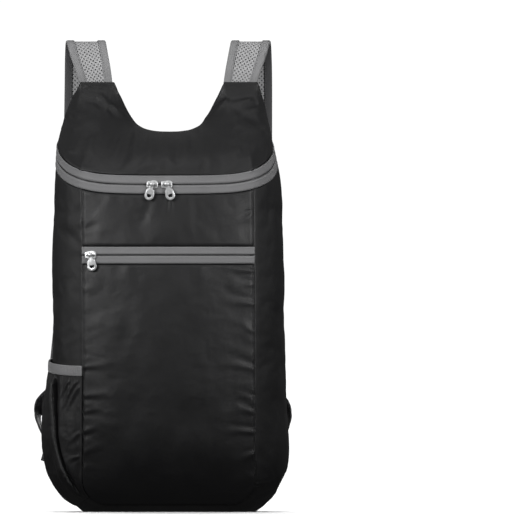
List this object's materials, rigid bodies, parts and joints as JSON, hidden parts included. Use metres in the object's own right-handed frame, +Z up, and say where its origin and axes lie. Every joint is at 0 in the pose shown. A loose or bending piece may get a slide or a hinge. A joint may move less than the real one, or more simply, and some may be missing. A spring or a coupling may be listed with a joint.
{
  "type": "packable backpack",
  "caption": "Lightweight packable backpack of thin cloth with a curved double-slider main zip, a front zip pocket, an elastic-hemmed side pocket and looped mesh shoulder straps.",
  "frame": {"origin": "the middle of the flat bottom, on the surface that the bag stands on", "axes": "+X to the right as seen from the front, +Y from the front panel to the back panel, +Z up"},
  "size_m": [0.2783, 0.1757, 0.5203],
  "materials": {
    "cloth": "thin black ripstop nylon with a faint sheen, creased",
    "zip_tape": "grey woven zip tape",
    "zip_coil": "grey nylon coil",
    "elastic": "grey ribbed elastic binding",
    "mesh": "light grey open spacer mesh",
    "binding": "grey grosgrain binding tape",
    "webbing": "black ribbed webbing",
    "metal": "nickel-plated zinc, satin",
    "plastic": "black moulded plastic"
  },
  "bodies": {
    "bag": {"front_pocket_panel": "cloth", "front_upper_panel": "cloth", "gusset_left": "cloth", "bottom_panel": "cloth", "gusset_right": "cloth", "lid_panel": "cloth", "back_panel": "cloth", "main_zip_upper_tape": "zip_tape", "main_zip_lower_tape": "zip_tape", "main_zip_coil": "zip_coil", "pocket_zip_upper_tape": "zip_tape", "pocket_zip_lower_tape": "zip_tape", "pocket_zip_coil": "zip_coil", "slider_main_left": "metal", "slider_main_right": "metal", "slider_pocket": "metal", "side_pocket": "cloth", "side_pocket_hem": "elastic", "strap_mesh_left": "mesh", "binding_outer_left": "binding", "binding_inner_left": "binding", "ladder_lock_left": "plastic", "webbing_left": "webbing", "webbing_tail_left": "webbing", "strap_mesh_right": "mesh", "binding_outer_right": "binding", "binding_inner_right": "binding", "ladder_lock_right": "plastic", "webbing_right": "webbing", "webbing_tail_right": "webbing"},
    "puller_main_left": {"puller_main_left": "metal"},
    "puller_main_right": {"puller_main_right": "metal"},
    "puller_pocket": {"puller_pocket": "metal"}
  },
  "joints": [
    {"name": "puller_main_left_swing", "type": "hinge", "parent": "bag", "child": "puller_main_left", "pos_m": [-0.01843, -0.05449, 0.3606], "axis": [-0.9997, 0.0264, 0], "range_deg": [0, 165]},
    {"name": "puller_main_right_swing", "type": "hinge", "parent": "bag", "child": "puller_main_right", "pos_m": [-0.00242, -0.05471, 0.36054], "axis": [-1, 0.0011, 0], "range_deg": [0, 165]},
    {"name": "puller_pocket_swing", "type": "hinge", "parent": "bag", "child": "puller_pocket", "pos_m": [-0.08662, -0.05565, 0.28299], "axis": [-0.9881, 0.1539, 0], "range_deg": [0, 165]}
  ]
}
